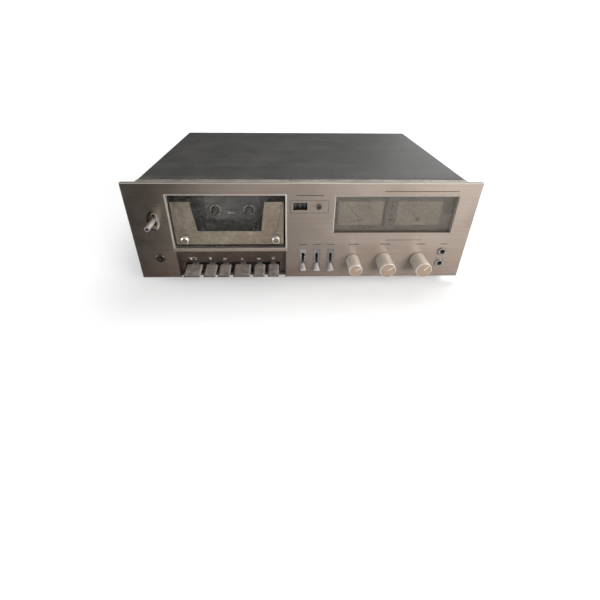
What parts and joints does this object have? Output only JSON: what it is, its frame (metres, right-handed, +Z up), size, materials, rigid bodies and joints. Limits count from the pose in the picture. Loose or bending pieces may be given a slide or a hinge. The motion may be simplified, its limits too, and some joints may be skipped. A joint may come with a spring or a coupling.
{
  "type": "cassette player",
  "caption": "Front-loading stereo cassette deck with brushed panel, tilting cassette door, piano keys, level meters, lever switches and turned knobs in a sheet-steel case.",
  "frame": {"origin": "on the surface it stands on, under the middle of its overall width and depth", "axes": "+X to the right as the user faces it, +Y to the rear, +Z up"},
  "size_m": [0.42, 0.305, 0.14],
  "materials": {
    "panel_aluminium": "brushed along its length, aged",
    "bright_trim": "brushed and bright at the edges",
    "dark_moulding": "satin, dusty",
    "case_paint": "fine textured paint, dusty",
    "plated_steel": "zinc plated",
    "screw_steel": "plated",
    "foot_plastic": "moulded",
    "trim_grey": "satin grey",
    "motor_steel": "turned",
    "belt_rubber": "matt",
    "roller_rubber": "matt",
    "control_steel": "plated",
    "chrome_fittings": "polished, worn",
    "clear_acrylic": "clear, dusty",
    "dial_card": "printed card, faded",
    "lamp_red": "tinted lens",
    "board_green": "lacquered board",
    "core_steel": "laminated core",
    "socket_metal": "plated",
    "grommet_rubber": "matt",
    "key_metal": "satin grey with bright edges",
    "lever_metal": "satin with bright facets",
    "knob_champagne": "champagne, turned",
    "spindle_plastic": "moulded",
    "counter_black": "black with white figures",
    "needle_paint": "painted"
  },
  "bodies": {
    "chassis": {"front_panel": "panel_aluminium", "door_bezel": "bright_trim", "key_panel": "dark_moulding", "front_subframe": "plated_steel", "top_cover": "case_paint", "base_pan": "plated_steel", "rear_panel": "case_paint", "feet": "foot_plastic", "case_screws": "screw_steel", "transport_frame": "plated_steel", "reel_trim_plate": "trim_grey", "drive_motor": "motor_steel", "flywheel_bracket": "plated_steel", "drive_belt": "belt_rubber", "key_shaft": "plated_steel", "power_switch": "dark_moulding", "lever_surrounds": "bright_trim", "lever_switches": "dark_moulding", "level_controls": "control_steel", "microphone_jacks": "chrome_fittings", "phones_jack": "chrome_fittings", "meter_window": "clear_acrylic", "meter_case": "dark_moulding", "meter_dials": "dial_card", "peak_lamps": "lamp_red", "counter_frame": "dark_moulding", "main_board": "board_green", "transformer": "core_steel", "line_sockets": "socket_metal", "cord_grommet": "grommet_rubber"},
    "cassette_door": {"door_window": "clear_acrylic", "door_plate": "bright_trim", "door_studs": "chrome_fittings", "cassette_holder": "plated_steel"},
    "power_arm": {"power_lever": "chrome_fittings"},
    "supply_reel": {"supply_spindle": "spindle_plastic"},
    "takeup_reel": {"takeup_spindle": "spindle_plastic"},
    "capstan": {"capstan_flywheel": "motor_steel"},
    "motor_rotor": {"motor_pulley": "motor_steel"},
    "bridge": {"head_bridge": "plated_steel", "tape_heads": "chrome_fittings"},
    "pinch": {"pinch_roller": "roller_rubber"},
    "reset": {"reset_button": "chrome_fittings"},
    "needle_arm_left": {"needle_left": "needle_paint"},
    "needle_arm_right": {"needle_right": "needle_paint"},
    "stop_key": {"key_stop": "key_metal"},
    "record_key": {"key_record": "key_metal"},
    "rewind_key": {"key_rewind": "key_metal"},
    "play_key": {"key_play": "key_metal"},
    "forward_key": {"key_forward": "key_metal"},
    "pause_key": {"key_pause": "key_metal"},
    "selector_left": {"selector_lever_left": "lever_metal"},
    "selector_middle": {"selector_lever_middle": "lever_metal"},
    "selector_right": {"selector_lever_right": "lever_metal"},
    "output_control": {"output_knob": "knob_champagne"},
    "record_left_control": {"record_left_knob": "knob_champagne"},
    "record_right_control": {"record_right_knob": "knob_champagne"},
    "counter_hundreds": {"counter_wheel_hundreds": "counter_black"},
    "counter_tens": {"counter_wheel_tens": "counter_black"},
    "counter_units": {"counter_wheel_units": "counter_black"}
  },
  "joints": [
    {"name": "door_tilt", "type": "hinge", "parent": "chassis", "child": "cassette_door", "pos_m": [-0.0905, -0.1095, 0.021], "axis": [1, 0, 0], "range_deg": [0, 22]},
    {"name": "stop_key_press", "type": "hinge", "parent": "chassis", "child": "stop_key", "pos_m": [-0.142, -0.0875, 0.0195], "axis": [1, 0, 0], "range_deg": [0, 7], "stiffness_Nm_per_rad": 1, "springref_deg": -2.86},
    {"name": "record_key_press", "type": "hinge", "parent": "chassis", "child": "record_key", "pos_m": [-0.1194, -0.0875, 0.0195], "axis": [1, 0, 0], "range_deg": [0, 7], "stiffness_Nm_per_rad": 1, "springref_deg": -2.86},
    {"name": "rewind_key_press", "type": "hinge", "parent": "chassis", "child": "rewind_key", "pos_m": [-0.101, -0.0875, 0.0195], "axis": [1, 0, 0], "range_deg": [0, 7], "stiffness_Nm_per_rad": 1, "springref_deg": -2.86},
    {"name": "play_key_press", "type": "hinge", "parent": "chassis", "child": "play_key", "pos_m": [-0.0781, -0.0875, 0.0195], "axis": [1, 0, 0], "range_deg": [0, 7.1], "stiffness_Nm_per_rad": 0.02, "springref_deg": -5.73},
    {"name": "forward_key_press", "type": "hinge", "parent": "chassis", "child": "forward_key", "pos_m": [-0.0558, -0.0875, 0.0195], "axis": [1, 0, 0], "range_deg": [0, 7], "stiffness_Nm_per_rad": 1, "springref_deg": -2.86},
    {"name": "pause_key_press", "type": "hinge", "parent": "chassis", "child": "pause_key", "pos_m": [-0.0372, -0.0875, 0.0195], "axis": [1, 0, 0], "range_deg": [0, 7], "stiffness_Nm_per_rad": 1, "springref_deg": -2.86},
    {"name": "power_toggle", "type": "hinge", "parent": "chassis", "child": "power_arm", "pos_m": [-0.1803, -0.1015, 0.092], "axis": [1, 0, 0], "range_deg": [-9, 9]},
    {"name": "selector_left_throw", "type": "hinge", "parent": "chassis", "child": "selector_left", "pos_m": [0.0013, -0.0955, 0.035], "axis": [1, 0, 0], "range_deg": [-20, 0]},
    {"name": "selector_middle_throw", "type": "hinge", "parent": "chassis", "child": "selector_middle", "pos_m": [0.0189, -0.0955, 0.035], "axis": [1, 0, 0], "range_deg": [-20, 0]},
    {"name": "selector_right_throw", "type": "hinge", "parent": "chassis", "child": "selector_right", "pos_m": [0.0368, -0.0955, 0.035], "axis": [1, 0, 0], "range_deg": [-20, 0]},
    {"name": "output_turn", "type": "hinge", "parent": "chassis", "child": "output_control", "pos_m": [0.0658, -0.1255, 0.0365], "axis": [0, 1, 0], "range_deg": [-206, 94]},
    {"name": "record_left_turn", "type": "hinge", "parent": "chassis", "child": "record_left_control", "pos_m": [0.106, -0.1255, 0.0365], "axis": [0, 1, 0], "range_deg": [-201, 99]},
    {"name": "record_right_turn", "type": "hinge", "parent": "chassis", "child": "record_right_control", "pos_m": [0.151, -0.1255, 0.0365], "axis": [0, 1, 0], "range_deg": [-190, 110]},
    {"name": "supply_spin", "type": "hinge", "parent": "chassis", "child": "supply_reel", "pos_m": [-0.1098, -0.099, 0.0944], "axis": [0, 1, 0], "continuous": true},
    {"name": "takeup_spin", "type": "hinge", "parent": "chassis", "child": "takeup_reel", "pos_m": [-0.0673, -0.099, 0.0944], "axis": [0, 1, 0], "continuous": true},
    {"name": "capstan_spin", "type": "hinge", "parent": "chassis", "child": "capstan", "pos_m": [-0.06155, -0.0755, 0.0696], "axis": [0, 1, 0], "continuous": true},
    {"name": "motor_spin", "type": "hinge", "parent": "chassis", "child": "motor_rotor", "pos_m": [-0.13355, -0.076, 0.055], "axis": [0, 1, 0], "continuous": true},
    {"name": "bridge_lift", "type": "slide", "parent": "chassis", "child": "bridge", "axis": [0, 0, 1], "range_m": [0, 0.008], "stiffness_N_per_m": 100, "springref_m": -0.004},
    {"name": "pinch_spin", "type": "hinge", "parent": "bridge", "child": "pinch", "pos_m": [-0.06155, -0.0973, 0.05395], "axis": [0, 1, 0], "continuous": true},
    {"name": "reset_press", "type": "slide", "parent": "chassis", "child": "reset", "axis": [0, 1, 0], "range_m": [0, 0.0025], "stiffness_N_per_m": 200, "springref_m": -0.0005},
    {"name": "counter_hundreds_spin", "type": "hinge", "parent": "chassis", "child": "counter_hundreds", "pos_m": [-0.00865, -0.1152, 0.111], "axis": [1, 0, 0], "continuous": true},
    {"name": "counter_tens_spin", "type": "hinge", "parent": "chassis", "child": "counter_tens", "pos_m": [-0.00315, -0.1152, 0.111], "axis": [1, 0, 0], "continuous": true},
    {"name": "counter_units_spin", "type": "hinge", "parent": "chassis", "child": "counter_units", "pos_m": [0.00235, -0.1152, 0.111], "axis": [1, 0, 0], "continuous": true},
    {"name": "needle_left_swing", "type": "hinge", "parent": "chassis", "child": "needle_arm_left", "pos_m": [0.0726, -0.1145, 0.089], "axis": [0, 1, 0], "range_deg": [0, 84], "stiffness_Nm_per_rad": 0.0005, "springref_deg": -11.46},
    {"name": "needle_right_swing", "type": "hinge", "parent": "chassis", "child": "needle_arm_right", "pos_m": [0.1452, -0.1145, 0.089], "axis": [0, 1, 0], "range_deg": [0, 84], "stiffness_Nm_per_rad": 0.0005, "springref_deg": -11.46}
  ],
  "couplings": [
    {"joint": "play_key_press", "follows": "bridge_lift", "rad_per_m": 15.272},
    {"joint": "motor_spin", "follows": "capstan_spin", "ratio": 5.8},
    {"joint": "counter_units_spin", "follows": "takeup_spin", "ratio": 0.1},
    {"joint": "counter_tens_spin", "follows": "takeup_spin", "ratio": 0.01},
    {"joint": "counter_hundreds_spin", "follows": "takeup_spin", "ratio": 0.001}
  ]
}
